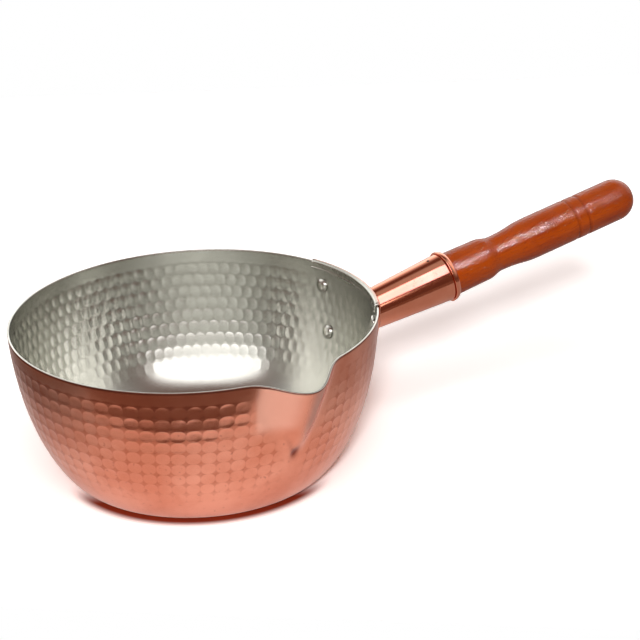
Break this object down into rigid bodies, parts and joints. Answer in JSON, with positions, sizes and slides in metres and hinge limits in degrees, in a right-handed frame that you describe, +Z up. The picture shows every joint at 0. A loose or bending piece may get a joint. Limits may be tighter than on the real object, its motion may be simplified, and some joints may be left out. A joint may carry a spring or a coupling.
{
  "type": "yukihira pan",
  "caption": "Saucepan of hammered copper, tinned inside, with a pouring lip in the wall, a riveted bracket hooked over the rim and a turned wooden handle in a conical socket.",
  "frame": {"origin": "centre of the flat base's underside, on the pan's axis", "axes": "+Z up along the pan's axis, +X from the pan's axis towards the handle, pouring lip near -Y"},
  "size_m": [0.4062, 0.2254, 0.1213],
  "materials": {
    "copper": "satin hammered copper",
    "polished_copper": "polished copper",
    "tinned_rivet": "bright tin coat",
    "varnished_wood": "gloss varnish",
    "dark_steel": "dulled steel"
  },
  "bodies": {
    "root": {"pan_body": "copper", "handle_bracket": "copper", "rivet_upper_left": "tinned_rivet", "rivet_upper_right": "tinned_rivet", "rivet_lower_left": "tinned_rivet", "rivet_lower_right": "tinned_rivet", "handle_socket": "polished_copper", "ferrule_ring": "polished_copper", "wooden_handle": "varnished_wood", "handle_nail": "dark_steel"}
  },
  "joints": []
}
